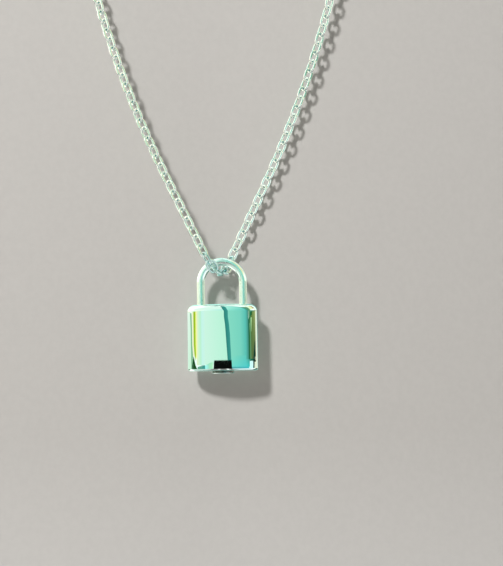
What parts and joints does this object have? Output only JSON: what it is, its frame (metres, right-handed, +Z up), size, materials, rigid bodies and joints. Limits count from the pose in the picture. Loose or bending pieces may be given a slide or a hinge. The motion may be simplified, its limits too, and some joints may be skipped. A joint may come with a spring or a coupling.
{
  "type": "padlock pendant necklace",
  "caption": "Small polished padlock with a round wire shackle, hanging on a fine cable chain whose loop closes with a plain round clasp.",
  "frame": {"origin": "top middle of the hanging loop, on the chain's own line, where a neck or a hook carries it", "axes": "+Z up along the hanging necklace, the padlock's front facing -Y, +X to the right as seen from the front"},
  "size_m": [0.0616, 0.0068, 0.194],
  "materials": {
    "polished_case": "mirror polished",
    "plug_steel": "turned and polished",
    "polished_shackle": "mirror polished",
    "chain_steel": "polished",
    "clasp_steel": "polished"
  },
  "bodies": {
    "necklace": {"cable_chain": "chain_steel", "clasp": "clasp_steel", "end_ring": "clasp_steel"},
    "shackle": {"shackle": "polished_shackle"},
    "case": {"lock_case": "polished_case"},
    "plug": {"key_plug": "plug_steel"}
  },
  "joints": [
    {"name": "pendant_swing", "type": "hinge", "parent": "necklace", "child": "shackle", "pos_m": [0.00056, 0, -0.17631], "axis": [0, 1, 0], "range_deg": [-45, 45]},
    {"name": "lock_release", "type": "slide", "parent": "shackle", "child": "case", "axis": [0, 0, -1], "range_m": [0, 0.003]},
    {"name": "key_turn", "type": "hinge", "parent": "case", "child": "plug", "pos_m": [0.00056, 0, -0.19146], "axis": [0, 0, 1], "range_deg": [0, 90]}
  ]
}
